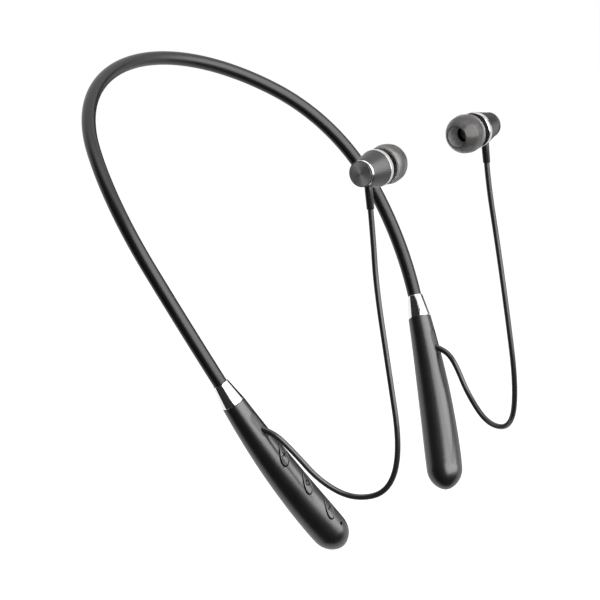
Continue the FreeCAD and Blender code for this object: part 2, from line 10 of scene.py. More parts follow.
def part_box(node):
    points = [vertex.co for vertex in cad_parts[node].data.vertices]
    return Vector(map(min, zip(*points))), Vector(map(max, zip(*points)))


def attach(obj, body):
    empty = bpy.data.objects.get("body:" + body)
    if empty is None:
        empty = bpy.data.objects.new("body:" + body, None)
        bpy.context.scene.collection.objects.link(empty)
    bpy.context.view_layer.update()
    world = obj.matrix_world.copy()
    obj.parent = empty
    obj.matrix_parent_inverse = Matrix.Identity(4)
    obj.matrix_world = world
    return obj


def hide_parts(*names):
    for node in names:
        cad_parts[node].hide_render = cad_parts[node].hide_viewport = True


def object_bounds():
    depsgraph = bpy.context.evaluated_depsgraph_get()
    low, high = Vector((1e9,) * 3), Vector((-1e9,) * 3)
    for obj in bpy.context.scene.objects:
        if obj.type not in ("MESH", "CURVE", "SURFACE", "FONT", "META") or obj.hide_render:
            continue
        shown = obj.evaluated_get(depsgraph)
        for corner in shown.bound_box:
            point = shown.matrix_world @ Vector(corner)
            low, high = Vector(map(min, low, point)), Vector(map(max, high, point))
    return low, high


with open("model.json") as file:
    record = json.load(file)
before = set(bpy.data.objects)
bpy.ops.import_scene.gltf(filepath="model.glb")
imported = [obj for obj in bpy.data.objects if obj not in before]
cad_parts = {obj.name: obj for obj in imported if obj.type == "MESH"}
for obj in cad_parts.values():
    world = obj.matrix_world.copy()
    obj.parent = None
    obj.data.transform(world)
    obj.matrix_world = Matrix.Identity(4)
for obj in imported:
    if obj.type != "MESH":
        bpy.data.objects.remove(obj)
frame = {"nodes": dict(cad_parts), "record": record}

bl_info = {
    "name": "Neckband Earphones",
    "version": (1, 0, 0),
    "blender": (4, 5, 0),
    "location": "3D View > Sidebar > Earphones",
    "description": "Dresses the packed neckband headset with its finished pieces and materials",
    "category": "Object",
}

MM = 0.001
MICRON = 0.001 * MM
CAD_LOW, CAD_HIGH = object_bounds()
CAD_CENTRE = (CAD_LOW + CAD_HIGH) / 2
SIDES = {"left": 1, "right": -1}
ROOT = "headset"

# ---------------------------------------------------------------- places, in millimetres and degrees
BAND_TILT = 37.0
BAND_ARCS = (                    # twist, radius and sweep, from the nape to the pod
    (0.0, 72.0, 54.0), (26.0, 72.0, 41.0), (12.0, 150.0, 17.5),
)
SLEEVE_INTO_COLLAR = 1.5
POD_TWIST = -38.5
POD_BEND = 320.0                 # radius of the pod's curved axis
POD_START = 8.5                  # where the shells begin, after the collar
KEYS = {                         # distance down the pod, and lean
    "volume_up": (32.8, -1.0), "call": (46.25, 2.0), "volume_down": (58.7, 5.0),
}
SYMBOL_RAISED = 0.02
ABOVE_KEYS = 10.0                # height that a symbol's corners are dropped from
BUD_Y = -123.1
BUD_Z = -16.7
STEM_TOP = 3.9                   # distance of the stem's visible top from the bud axis
STEM_FOOT_RADIUS = 1.3
STEM_NECK = 2.2                  # length of the stem's straight top
CORD_ROUTES = {                  # from the pod's grommet to the stem under the bud
    "left": (
        (59.5, -92.5, -107.0), (59.0, -97.5, -107.5), (57.0, -103.0, -111.0),
        (55.5, -109.5, -122.0), (50.5, -121.0, -130.5), (44.5, -134.0, -127.5),
        (40.5, -137.5, -110.0), (40.5, -133.5, -84.0), (41.0, -128.5, -57.0),
        (40.0, -125.5, -38.5), (40.0, -124.5, -29.5),
    ),
    "right": (
        (-59.5, -92.5, -107.0), (-59.0, -97.5, -107.5), (-56.5, -104.0, -114.0),
        (-53.0, -113.0, -124.5), (-49.0, -124.0, -130.0), (-45.0, -135.5, -126.5),
        (-43.5, -139.0, -111.0), (-42.5, -133.5, -84.0), (-41.0, -127.5, -56.0),
        (-40.0, -125.5, -38.5), (-40.0, -124.5, -29.5),
    ),
}

# ---------------------------------------------------------------- a bud's sizes, in millimetres
# Places along a bud are counted from its flat cap's face.
JOINT_GAP = 0.05
TRIM_GAP = 0.02
CAP_BACK = 0.85
CAP_RADIUS = 4.2
BEZEL_RADIUS = 4.48
BARREL_FRONT = 9.5
BARREL_FRONT_RADIUS = 6.3
FRONT_RING_END = 11.45
FRONT_RING_RADIUS = 6.42
NOZZLE_END = 18.5
NOZZLE_RADIUS = 2.6
NOZZLE_LIP_RADIUS = 2.9
NOZZLE_BORE_RADIUS = 1.9
TIP_EDGE = 14.4
TIP_RADIUS = 6.9
TIP_BORE_RADIUS = 2.97

# ---------------------------------------------------------------- the studio, in metres and degrees
# Directions are a turn to the camera's right and a rise, seen from the headset.
SCREEN_RADIUS = 1.6
SCREEN_STEPS = 16
SCREENS = {                      # from and to in turn, from and to in rise
    "front_screen": ((-97, 4), (-89, 50)),
    "low_screen": ((4, 98), (-89, -16)),
    "right_screen": ((150, 172), (-12, 33)),
    "upper_right_screen": ((117, 150), (15, 33)),
}
LIGHT_DISTANCE = 1.2
KEY_LIGHT_DIRECTION = (48, 19)
KEY_LIGHT_SIZE = (2.1, 1.5)
TOP_LIGHT_DIRECTION = (0, 72)
TOP_LIGHT_SIZE = (1.0, 0.7)
FLOOR_DROP = 0.45                # below the lowest point of the headset
FLOOR_REACH = 9.0


# ---------------------------------------------------------------- what a user would change
class EarphoneSizes(bpy.types.PropertyGroup):
    """Sizes of the pieces that this scene builds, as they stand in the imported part."""

    sleeve_diameter: bpy.props.FloatProperty(
        name="Sleeve", description="Diameter of the band's soft sleeve",
        default=5.0 * MM, unit="LENGTH")
    cord_diameter: bpy.props.FloatProperty(
        name="Cord", description="Diameter of the cords", default=2.0 * MM, unit="LENGTH")
    stem_diameter: bpy.props.FloatProperty(
        name="Stem", description="Diameter of a bud's stem at its top",
        default=2.8 * MM, unit="LENGTH")
    symbol_width: bpy.props.FloatProperty(
        name="Symbol", description="Width of the symbols on the keys",
        default=2.2 * MM, unit="LENGTH")


class EarphoneColours(bpy.types.PropertyGroup):
    """Colours of the finishes."""

    shell: bpy.props.FloatVectorProperty(
        name="Shell", description="Soft-touch coat of the pods and keys",
        default=(0.004, 0.004, 0.0042), subtype="COLOR", min=0, max=1)
    sleeve: bpy.props.FloatVectorProperty(
        name="Sleeve", description="Soft sleeve of the band",
        default=(0.0035, 0.0035, 0.0037), subtype="COLOR", min=0, max=1)
    barrel: bpy.props.FloatVectorProperty(
        name="Barrel", description="Gunmetal barrel of the buds",
        default=(0.055, 0.055, 0.056), subtype="COLOR", min=0, max=1)
    cap: bpy.props.FloatVectorProperty(
        name="Cap", description="Turned caps of the buds",
        default=(0.46, 0.46, 0.46), subtype="COLOR", min=0, max=1)
    silicone: bpy.props.FloatVectorProperty(
        name="Silicone", description="Smoky silicone of the ear tips",
        default=(0.12, 0.115, 0.113), subtype="COLOR", min=0, max=1)
    cord: bpy.props.FloatVectorProperty(
        name="Cord", description="Jacket of the cords",
        default=(0.012, 0.012, 0.013), subtype="COLOR", min=0, max=1)


class EarphoneStudio(bpy.types.PropertyGroup):
    """The camera's place and the level of the light."""

    azimuth: bpy.props.FloatProperty(
        name="Azimuth", description="Direction that the camera stands in",
        default=math.radians(-58.0), subtype="ANGLE")
    elevation: bpy.props.FloatProperty(
        name="Elevation", description="Height of the camera above the horizon",
        default=math.radians(15.5), subtype="ANGLE")
    distance: bpy.props.FloatProperty(
        name="Distance", description="Distance of the camera from its target",
        default=1.33, unit="LENGTH")
    target: bpy.props.FloatVectorProperty(
        name="Target", description="Point that the camera looks at",
        default=(12.73 * MM, -63.58 * MM, -82.56 * MM), subtype="XYZ")
    focal_length: bpy.props.FloatProperty(
        name="Focal Length", description="Focal length on a 36 mm sensor, in millimetres",
        default=221.4)
    fill: bpy.props.FloatProperty(
        name="Fill", description="Strength of the even light from all round", default=0.25)
    key: bpy.props.FloatProperty(
        name="Key", description="Power of the side soft box, in watts", default=44.0)
    top: bpy.props.FloatProperty(
        name="Top", description="Power of the soft box overhead, in watts", default=3.0)


def sizes():
    return bpy.context.scene.earphone_sizes


def colours():
    return bpy.context.scene.earphone_colours


def studio():
    return bpy.context.scene.earphone_studio


# ---------------------------------------------------------------- mesh helpers
def new_object(name, data):
    """An object that holds the data, put in the scene."""
    obj = bpy.data.objects.new(name, data)
    bpy.context.scene.collection.objects.link(obj)
    return obj


def finish_piece(obj, material, body=ROOT, replaced=()):
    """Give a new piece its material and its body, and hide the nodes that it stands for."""
    obj.data.materials.append(material)
    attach(obj, body)
    if replaced:
        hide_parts(*replaced)


def mesh_object(name, vertices, faces, placement=None, sharp=35.0):
    """A smooth-shaded mesh piece with creases where its faces meet at more than the angle."""
    mesh = bpy.data.meshes.new(name)
    mesh.from_pydata([tuple(v) for v in vertices], [], faces)
    mesh.validate()
    work = bmesh.new()
    work.from_mesh(mesh)
    bmesh.ops.recalc_face_normals(work, faces=work.faces)
    work.to_mesh(mesh)
    work.free()
    mesh.shade_smooth()
    mesh.set_sharp_from_angle(angle=math.radians(sharp))
    obj = new_object(name, mesh)
    if placement is not None:
        obj.matrix_world = placement
    return obj


def rounded(outline, steps=6):
    """Replace each corner (x, y, radius) of a closed outline with an arc."""
    edge_share = 0.49                # the most of an edge that one corner's arc takes up
    points = []
    count = len(outline)
    for index, (x, y, radius) in enumerate(outline):
        corner = Vector((x, y))
        before = Vector(outline[index - 1][:2]) - corner
        after = Vector(outline[(index + 1) % count][:2]) - corner
        if radius <= 0 or before.length == 0 or after.length == 0:
            points.append((x, y))
            continue
        half = before.angle(after) / 2
        shorter = min(before.length, after.length)
        reach = min(radius / math.tan(half), shorter * edge_share)
        size = reach * math.tan(half)
        centre = corner + (before.normalized() + after.normalized()).normalized() * (
            size / math.sin(half))
        start = corner + before.normalized() * reach - centre
        end = corner + after.normalized() * reach - centre
        for step in range(steps + 1):
            blend = start.slerp(end, step / steps, start) if start.length else start
            points.append(tuple(centre + blend.normalized() * size))
    return points


def turned(outline, sides=96):
    """Vertices and faces of a body turned about X, from (x, radius) points in millimetres."""
    on_axis = 1e-6
    vertices = []
    rings = []
    for x, radius in outline:
        if radius < on_axis:
            rings.append([len(vertices)])
            vertices.append((x * MM, 0, 0))
            continue
        rings.append(list(range(len(vertices), len(vertices) + sides)))
        for side in range(sides):
            angle = 2 * math.pi * side / sides
            vertices.append((x * MM, radius * MM * math.cos(angle), radius * MM * math.sin(angle)))
    faces = []
    for here, there in zip(rings, rings[1:] + rings[:1]):
        for side in range(sides):
            after = (side + 1) % sides
            corners = [
                here[side % len(here)], here[after % len(here)],
                there[after % len(there)], there[side % len(there)],
            ]
            corners = list(dict.fromkeys(corners))
            if len(corners) > 2:
                faces.append(corners)
    return vertices, faces


def tube(points, radius, sides=64):
    """Vertices and faces of a closed-ended round tube along a dense line of points."""
    vertices = []
    count = len(points)
    across = None
    for index, point in enumerate(points):
        ahead = points[min(index + 1, count - 1)] - points[max(index - 1, 0)]
        ahead.normalize()
        if across is None:
            across = ahead.orthogonal()
        across = (across - ahead * across.dot(ahead)).normalized()
        up = ahead.cross(across)
        for side in range(sides):
            angle = 2 * math.pi * side / sides
            vertices.append(point + (across * math.cos(angle) + up * math.sin(angle)) * radius)
    faces = []
    for ring in range(count - 1):
        for side in range(sides):
            after = (side + 1) % sides
            base = ring * sides
            faces.append((base + side, base + after, base + sides + after, base + sides + side))
    faces.append(tuple(range(sides)))
    faces.append(tuple(range((count - 1) * sides, count * sides)))
    return vertices, faces


# ---------------------------------------------------------------- the part's own frames
def band_half(steps=40):
    """Points of the left arm's centre line, and the frame at its end."""
    tilt = math.radians(BAND_TILT)
    point = Vector((0, 0, 0))
    tangent = Vector((1, 0, 0))
    normal = Vector((0, -math.cos(tilt), -math.sin(tilt)))
    line = [point.copy()]
    for twist, radius, sweep in BAND_ARCS:
        normal = Matrix.Rotation(math.radians(twist), 3, tangent) @ normal
        axis = tangent.cross(normal)
        centre = point + normal * radius
        spoke = point - centre
        for step in range(1, steps + 1):
            turn = Matrix.Rotation(math.radians(sweep) * step / steps, 3, axis)
            line.append(centre + turn @ spoke)
        turn = Matrix.Rotation(math.radians(sweep), 3, axis)
        point = centre + turn @ spoke
        tangent = turn @ tangent
        normal = turn @ normal
    return line, point, tangent, normal


def pod_frame():
    """The left pod's frame: X down the pod, Z out of its button face."""
    _, point, tangent, normal = band_half(1)
    bend = Matrix.Rotation(math.radians(POD_TWIST), 3, tangent) @ normal
    side = -bend
    face = tangent.cross(side)
    turn = Matrix((tangent, side, face)).transposed().to_4x4()
    return Matrix.Translation(point * MM) @ turn


def station(distance):
    """A frame on the pod's curved axis, in the pod's own frame."""
    angle = distance / POD_BEND
    spot = Vector((math.sin(angle), math.cos(angle) - 1, 0)) * POD_BEND * MM
    return Matrix.Translation(spot) @ Matrix.Rotation(-angle, 4, "Z")


def mirror_for(side):
    """The right half is the left one mirrored in X."""
    return Matrix.Scale(SIDES[side], 4, (1, 0, 0))


def bud_frame(side):
    """A bud's frame: X from the flat cap towards the ear, origin on the cap's face."""
    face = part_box(side + "_bud_cap")[1 if side == "left" else 0].x
    turn = Matrix.Rotation(math.pi, 4, "Z") if side == "left" else Matrix.Identity(4)
    return Matrix.Translation((face, BUD_Y * MM, BUD_Z * MM)) @ turn


# ---------------------------------------------------------------- shader nodes
def set_inputs(node, values):
    """Give a node's own sockets their values."""
    for label, value in values.items():
        node.inputs[label].default_value = value


def feed(tree, socket, value):
    """Feed a socket with a number or with another node's output."""
    if isinstance(value, (int, float)):
        socket.default_value = value
    else:
        tree.links.new(value, socket)


def math_node(tree, operation, *values):
    """The result of a sum on numbers and on other nodes' outputs."""
    node = tree.nodes.new("ShaderNodeMath")
    node.operation = operation
    for socket, value in zip(node.inputs, values):
        feed(tree, socket, value)
    return node.outputs[0]


def ranged(tree, value, low, high):
    """Map a 0 to 1 value on to a low to high range."""
    node = tree.nodes.new("ShaderNodeMapRange")
    feed(tree, node.inputs["Value"], value)
    feed(tree, node.inputs["To Min"], low)
    feed(tree, node.inputs["To Max"], high)
    return node.outputs["Result"]


def mixed(tree, factor, first, second):
    """A colour between two colours."""
    node = tree.nodes.new("ShaderNodeMix")
    node.data_type = "RGBA"
    tree.links.new(factor, node.inputs["Factor"])
    tree.links.new(first, node.inputs["A"])
    tree.links.new(second, node.inputs["B"])
    return node.outputs["Result"]


def own_place(tree):
    """The place on the piece, in the piece's own coordinates."""
    return tree.nodes.new("ShaderNodeTexCoord").outputs["Object"]


def own_axes(tree):
    """X, Y and Z of the place on the piece."""
    split = tree.nodes.new("ShaderNodeSeparateXYZ")
    tree.links.new(own_place(tree), split.inputs[0])
    return split.outputs["X"], split.outputs["Y"], split.outputs["Z"]


def off_axis(tree, y, z):
    """Distance from the X axis, about which the turned pieces are made."""
    squares = [math_node(tree, "POWER", part, 2.0) for part in (y, z)]
    return math_node(tree, "SQRT", math_node(tree, "ADD", *squares))


def sine(tree, turns):
    """A wave from -1 to 1 that repeats at each full turn."""
    return math_node(tree, "SINE", math_node(tree, "MULTIPLY", turns, 2 * math.pi))


def new_group(name, inputs, outputs):
    """An empty effect: inputs give a default to each name, outputs are names."""
    group = bpy.data.node_groups.new(name, "ShaderNodeTree")
    for label, default in inputs.items():
        kind = "NodeSocketColor" if hasattr(default, "__len__") else "NodeSocketFloat"
        socket = group.interface.new_socket(label, in_out="INPUT", socket_type=kind)
        socket.default_value = default
    for label in outputs:
        kind = "NodeSocketColor" if label == "Colour" else "NodeSocketFloat"
        group.interface.new_socket(label, in_out="OUTPUT", socket_type=kind)
    source = group.nodes.new("NodeGroupInput")
    result = group.nodes.new("NodeGroupOutput")
    return group, source.outputs, result.inputs


# ---------------------------------------------------------------- effects
def moulded_grain(name):
    """Fine moulding grain with a faint cloudiness in colour and gloss."""
    group, given, result = new_group(
        name,
        {"Colour": (0.02, 0.02, 0.02, 1), "Dusty Colour": (0.03, 0.03, 0.03, 1),
         "Grain Scale": 5000.0, "Low Roughness": 0.4, "High Roughness": 0.46},
        ("Colour", "Roughness", "Height"))
    place = own_place(group)
    grain = group.nodes.new("ShaderNodeTexNoise")
    grain.inputs["Detail"].default_value = 3.0
    group.links.new(place, grain.inputs["Vector"])
    group.links.new(given["Grain Scale"], grain.inputs["Scale"])
    cloud = group.nodes.new("ShaderNodeTexNoise")
    cloud.inputs["Scale"].default_value = 180.0
    group.links.new(place, cloud.inputs["Vector"])
    cloudy = cloud.outputs["Fac"]
    colour = mixed(group, cloudy, given["Colour"], given["Dusty Colour"])
    rough = ranged(group, cloudy, given["Low Roughness"], given["High Roughness"])
    group.links.new(colour, result["Colour"])
    group.links.new(rough, result["Roughness"])
    group.links.new(grain.outputs["Fac"], result["Height"])
    return group


def turning_lines(name):
    """Fine lines round the X axis, as a lathe tool leaves them."""
    group, given, result = new_group(
        name,
        {"Colour": (0.2, 0.2, 0.2, 1), "Line Colour": (0.3, 0.3, 0.3, 1),
         "Spacing": 0.08 * MM, "Low Roughness": 0.25, "High Roughness": 0.35},
        ("Colour", "Roughness", "Height"))
    x, y, z = own_axes(group)
    along = math_node(group, "ADD", off_axis(group, y, z), x)
    turns = math_node(group, "DIVIDE", along, given["Spacing"])
    wave = math_node(group, "MULTIPLY_ADD", sine(group, turns), 0.5, 0.5)
    noise = group.nodes.new("ShaderNodeTexNoise")
    noise.noise_dimensions = "1D"
    noise.inputs["Scale"].default_value = 0.7
    group.links.new(turns, noise.inputs["W"])
    uneven = noise.outputs["Fac"]
    lines = math_node(group, "MULTIPLY", wave, uneven)
    colour = mixed(group, lines, given["Colour"], given["Line Colour"])
    rough = ranged(group, uneven, given["Low Roughness"], given["High Roughness"])
    group.links.new(colour, result["Colour"])
    group.links.new(rough, result["Roughness"])
    group.links.new(lines, result["Height"])
    return group


def woven_grid(name):
    """A fine square weave of wire, in the plane across the X axis."""
    group, given, result = new_group(name, {"Pitch": 0.22 * MM}, ("Wire",))
    _, y, z = own_axes(group)
    waves = []
    for across in (y, z):
        turns = math_node(group, "DIVIDE", across, given["Pitch"])
        waves.append(math_node(group, "ABSOLUTE", sine(group, turns)))
    group.links.new(math_node(group, "MAXIMUM", *waves), result["Wire"])
    return group


def painted_light_thin_walls(name):
    """Painted light: a paler base colour at the skirt's edge and round the bore on the X axis, where
    light shines through the thin moulding.
    """
    group, given, result = new_group(
        name,
        {"Colour": (0.12, 0.12, 0.12, 1), "Painted Light Colour": (0.5, 0.5, 0.5, 1),
         "Edge": 14.5 * MM, "Edge Width": 2.0 * MM, "Bore Radius": 3.5 * MM},
        ("Colour",))
    x, y, z = own_axes(group)
    past = math_node(group, "SUBTRACT", x, given["Edge"])
    share = math_node(group, "DIVIDE", past, given["Edge Width"])
    edge = math_node(group, "MAXIMUM", math_node(group, "SUBTRACT", 1.0, share), 0.0)
    bore = math_node(group, "LESS_THAN", off_axis(group, y, z), given["Bore Radius"])
    # Painted light through the thin walls: paler at the skirt's edge and inside the bore radius.
    thin = math_node(group, "MAXIMUM", edge, bore)
    colour = mixed(group, thin, given["Colour"], given["Painted Light Colour"])
    group.links.new(colour, result["Colour"])
    return group


_made = {}


def shared(maker):
    """The effect or finish that a maker makes, named after the maker and made only once."""
    if maker not in _made:
        _made[maker] = maker(maker.__name__)
    return _made[maker]


def effect_in(tree, maker):
    """Place a shared effect in a material."""
    node = tree.nodes.new("ShaderNodeGroup")
    node.node_tree = shared(maker)
    return node


# ---------------------------------------------------------------- kinds of finish
def new_material(name):
    """A material with the usual shader, ready for its values."""
    material = bpy.data.materials.new(name)
    material.use_nodes = True
    return material


def shader_of(material):
    return material.node_tree.nodes["Principled BSDF"]


def add_bump(material, height, strength, distance):
    """Raise the surface of a material a little by a height."""
    tree = material.node_tree
    bump = tree.nodes.new("ShaderNodeBump")
    bump.inputs["Strength"].default_value = strength
    bump.inputs["Distance"].default_value = distance
    tree.links.new(height, bump.inputs["Height"])
    tree.links.new(bump.outputs["Normal"], shader_of(material).inputs["Normal"])


def opaque(colour, lighter=0.0):
    """A colour with full alpha, lighter where asked."""
    return tuple(min(1.0, part + lighter) for part in colour) + (1.0,)


def finish_from(name, maker, values, strength, depth):
    """A finish with its colour, roughness and relief from a shared effect."""
    material = new_material(name)
    tree = material.node_tree
    shader = shader_of(material)
    effect = effect_in(tree, maker)
    set_inputs(effect, values)
    tree.links.new(effect.outputs["Colour"], shader.inputs["Base Color"])
    tree.links.new(effect.outputs["Roughness"], shader.inputs["Roughness"])
    add_bump(material, effect.outputs["Height"], strength, depth)
    return material


def grained(name, colour, rough, grain=5000.0, depth=4 * MICRON, strength=0.35, dust=0.004,
            specular=0.5, metallic=0.0):
    """A moulded finish from the shared grain."""
    values = {"Colour": opaque(colour), "Dusty Colour": opaque(colour, dust),
              "Grain Scale": grain, "Low Roughness": rough[0], "High Roughness": rough[1]}
    material = finish_from(name, moulded_grain, values, strength, depth)
    set_inputs(shader_of(material), {"Specular IOR Level": specular, "Metallic": metallic})
    return material


def turned_metal(name, colour, line_colour, rough, spacing, depth, anisotropy=0.0):
    """A metal finish from the shared turning lines."""
    values = {"Colour": opaque(colour), "Line Colour": opaque(line_colour),
              "Spacing": spacing, "Low Roughness": rough[0], "High Roughness": rough[1]}
    material = finish_from(name, turning_lines, values, 0.3, depth)
    shader = shader_of(material)
    set_inputs(shader, {"Metallic": 1.0, "Anisotropic": anisotropy})
    if anisotropy:
        tree = material.node_tree
        tangent = tree.nodes.new("ShaderNodeTangent")
        tangent.direction_type = "RADIAL"
        tangent.axis = "X"
        tree.links.new(tangent.outputs[0], shader.inputs["Tangent"])
    return material


def matte_sheet(name, shade, glow):
    """A matte finish for the studio, with a white glow of its own."""
    material = new_material(name)
    set_inputs(shader_of(material), {
        "Base Color": (shade, shade, shade, 1), "Roughness": 1.0, "Specular IOR Level": 0.0,
        "Emission Color": (1, 1, 1, 1), "Emission Strength": glow,
    })
    return material


# ---------------------------------------------------------------- finishes
def soft_touch_coat(name):
    """On the pods and the keys."""
    return grained(name, colours().shell, (0.28, 0.33), dust=0.002, specular=0.82)


def sleeve_rubber(name):
    """On the band, finer and a little duller than the pods' coat."""
    return grained(name, colours().sleeve, (0.3, 0.36), grain=7000.0, dust=0.002,
                   specular=0.44)


def cord_jacket(name):
    """On the cords."""
    return grained(name, colours().cord, (0.2, 0.26), grain=2500.0, depth=6 * MICRON,
                   strength=0.25, specular=0.6)


def glossy_black_plastic(name):
    """On the bezels round the caps and on the stems."""
    return grained(name, (0.008, 0.008, 0.009), (0.12, 0.17), grain=900.0, depth=3 * MICRON,
                   strength=0.15)


def matte_black_plastic(name):
    """On the front plates and sound tubes."""
    return grained(name, (0.002, 0.002, 0.002), (0.6, 0.7), grain=2000.0, dust=0.001,
                   specular=0.08)


def insert_rubber(name):
    """On the cord grommets, the port flap and the microphone."""
    return grained(name, (0.03, 0.03, 0.031), (0.42, 0.5))


def satin_gunmetal(name):
    """On the barrels."""
    return grained(name, colours().barrel, (0.35, 0.43), grain=9000.0, depth=3 * MICRON,
                   strength=0.3, dust=0.01, metallic=0.8)


def spun_cap_metal(name):
    """On the flat caps, whose fine lines spread the light into a sheen across them."""
    return turned_metal(name, colours().cap, (0.5, 0.5, 0.5), (0.5, 0.58), spacing=0.11 * MM,
                        depth=2 * MICRON, anisotropy=0.5)


def polished_metal(name):
    """On the collars, polished almost to a mirror."""
    return turned_metal(name, (0.86, 0.86, 0.87), (0.88, 0.88, 0.89), (0.05, 0.09),
                        spacing=0.35 * MM, depth=0.4 * MICRON)


def ring_metal(name):
    """On the buds' rings, softer and greyer than the collars."""
    return turned_metal(name, (0.62, 0.62, 0.63), (0.66, 0.66, 0.67), (0.17, 0.21),
                        spacing=0.35 * MM, depth=0.4 * MICRON)


def smoky_silicone(name):
    """Partly see-through silicone with the grain's gloss and relief, and painted light: a paler
    colour where its walls are thin.
    """
    material = grained(name, colours().silicone, (0.26, 0.3), grain=800.0, depth=1 * MICRON,
                       strength=0.02)
    shader = shader_of(material)
    set_inputs(shader, {"Transmission Weight": 0.65, "IOR": 1.41})
    tree = material.node_tree
    # Painted light: a paler base colour at the thin skirt edge and round the bore, standing in for
    # light shining through.
    walls = effect_in(tree, painted_light_thin_walls)
    set_inputs(walls, {"Colour": opaque(colours().silicone),
                       "Painted Light Colour": opaque((0.5, 0.49, 0.485))})
    tree.links.new(walls.outputs["Colour"], shader.inputs["Base Color"])
    return material


def symbol_ink(name):
    """On the symbols of the keys."""
    return grained(name, (0.002, 0.002, 0.002), (0.85, 0.95), grain=4000.0, dust=0.001,
                   specular=0.05)


def woven_steel_mesh(name):
    """Bright wires over dark gaps."""
    material = new_material(name)
    tree = material.node_tree
    shader = shader_of(material)
    wire = effect_in(tree, woven_grid).outputs["Wire"]
    tree.links.new(wire, shader.inputs["Metallic"])
    tree.links.new(ranged(tree, wire, 0.8, 0.35), shader.inputs["Roughness"])
    shader.inputs["Base Color"].default_value = (0.12, 0.12, 0.125, 1)
    add_bump(material, wire, strength=0.8, distance=0.05 * MM)
    return material


def inner_finish(name, colour, rough, metallic=0.0):
    """The finish of a part inside a housing, with a coarser grain."""
    return grained(name, colour, rough, grain=2500.0, metallic=metallic)


def inner_finishes():
    """Finishes of the hidden parts, by the record's material slots."""
    return {
        "spring_steel": inner_finish("spring_steel", (0.5, 0.5, 0.52), (0.25, 0.35), 1.0),
        "wire_jacket": inner_finish("wire_jacket", (0.35, 0.03, 0.03), (0.35, 0.45)),
        "board_green": inner_finish("circuit_board", (0.01, 0.12, 0.05), (0.3, 0.4)),
        "tinned_steel": inner_finish("tinned_steel", (0.6, 0.6, 0.6), (0.3, 0.4), 1.0),
        "cell_can": inner_finish("cell_can", (0.5, 0.51, 0.53), (0.3, 0.42), 1.0),
        "crimp_plastic": inner_finish("crimp_plastic", (0.6, 0.59, 0.55), (0.45, 0.55)),
    }


# ---------------------------------------------------------------- pieces
def build_band():
    """Sweep the sleeve from the right pod round the nape to the left pod."""
    line, point, tangent, _ = band_half()
    line.append(point + tangent * SLEEVE_INTO_COLLAR)
    left = [spot * MM for spot in line]
    right = [Vector((-spot.x, spot.y, spot.z)) for spot in reversed(left[1:])]
    vertices, faces = tube(right + left, sizes().sleeve_diameter / 2)
    band = mesh_object("band_sleeve", vertices, faces)
    finish_piece(band, shared(sleeve_rubber), ROOT, ["neckband_sleeve"])


def build_collars():
    """A cone from the sleeve out to the shells, bored for the sleeve and the pod's spigot."""
    outline = rounded([
        (0.0, 2.58, 0), (0.0, 2.85, 0.15), (8.43, 4.2, 0.2), (8.43, 3.18, 0),
        (6.43, 3.18, 0), (6.43, 1.7, 0), (1.6, 1.7, 0), (1.6, 2.58, 0),
    ])
    middle = POD_START / 2
    vertices, faces = turned([(x - middle, radius) for x, radius in outline], sides=128)
    for side in SIDES:
        place = mirror_for(side) @ pod_frame() @ station(middle)
        collar = mesh_object(side + "_polished_collar", vertices, faces, place, sharp=50)
        finish_piece(collar, shared(polished_metal), ROOT, [side + "_collar"])


def dress_node(node, material, sharp=30.0):
    """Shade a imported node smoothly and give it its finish."""
    obj = frame["nodes"][node]
    obj.data.shade_smooth()
    obj.data.set_sharp_from_angle(angle=math.radians(sharp))
    obj.data.materials.clear()
    obj.data.materials.append(material)


def build_pods():
    for side in SIDES:
        for shell in ("_pod_front", "_pod_back"):
            dress_node(side + shell, shared(soft_touch_coat))


def build_inserts():
    for node in ("left_cord_grommet", "right_cord_grommet", "port_flap", "microphone"):
        dress_node(node, shared(insert_rubber))


def symbol_piece(key, name, cells):
    """A thin symbol laid on a key from four-cornered cells of (along, across) points."""
    distance, lean = KEYS[key]
    tip = Matrix.Rotation(math.radians(lean), 4, "X")
    place = mirror_for("right") @ pod_frame() @ station(distance) @ tip
    outward = (place.to_3x3() @ Vector((0, 0, 1))).normalized()
    depsgraph = bpy.context.evaluated_depsgraph_get()
    face = BVHTree.FromObject(frame["nodes"][key + "_button"], depsgraph)
    vertices = []
    faces = []
    for cell in cells:
        faces.append(tuple(range(len(vertices), len(vertices) + 4)))
        for along, across in cell:
            above = place @ Vector((along * MM, across * MM, ABOVE_KEYS * MM))
            spot, _, _, _ = face.ray_cast(above, -outward)
            vertices.append(spot + outward * (SYMBOL_RAISED * MM))
    mark = mesh_object(name, vertices, faces)
    finish_piece(mark, shared(symbol_ink), key + "_button")


def bar_cells(length, width, lengthwise, pieces=8):
    """A straight bar cut in short cells so that it follows the curved key."""
    cells = []
    for index in range(pieces):
        low = length * (index / pieces - 0.5)
        high = length * ((index + 1) / pieces - 0.5)
        half = width / 2
        cell = [(low, -half), (high, -half), (high, half), (low, half)]
        cells.append(cell if lengthwise else [(b, a) for a, b in cell])
    return cells


def ring_cells(outer, inner, pieces=36):
    """A ring cut in short cells."""
    cells = []
    for index in range(pieces):
        start = 2 * math.pi * index / pieces
        end = 2 * math.pi * (index + 1) / pieces
        corners = ((outer, start), (outer, end), (inner, end), (inner, start))
        cells.append([(radius * math.cos(angle), radius * math.sin(angle))
                      for radius, angle in corners])
    return cells


def build_keys():
    """The symbols are one width, and the bars in them a fifth of it."""
    for key in KEYS:
        dress_node(key + "_button", shared(soft_touch_coat))
    width = sizes().symbol_width / MM
    bar = width / 5
    across = bar_cells(width, bar, lengthwise=False)
    symbol_piece("volume_up", "plus_symbol", bar_cells(width, bar, lengthwise=True) + across)
    symbol_piece("call", "ring_symbol", ring_cells(width / 2, width / 2 - bar))
    symbol_piece("volume_down", "minus_symbol", across)


def bud_piece(side, name, outline, material, nodes, sides=96, body=ROOT, sharp=50.0):
    """A piece of a bud, turned about the bud's axis from an outline."""
    vertices, faces = turned(outline, sides)
    piece = mesh_object(side + "_" + name, vertices, faces, bud_frame(side), sharp)
    finish_piece(piece, material, body, [side + "_" + node for node in nodes])


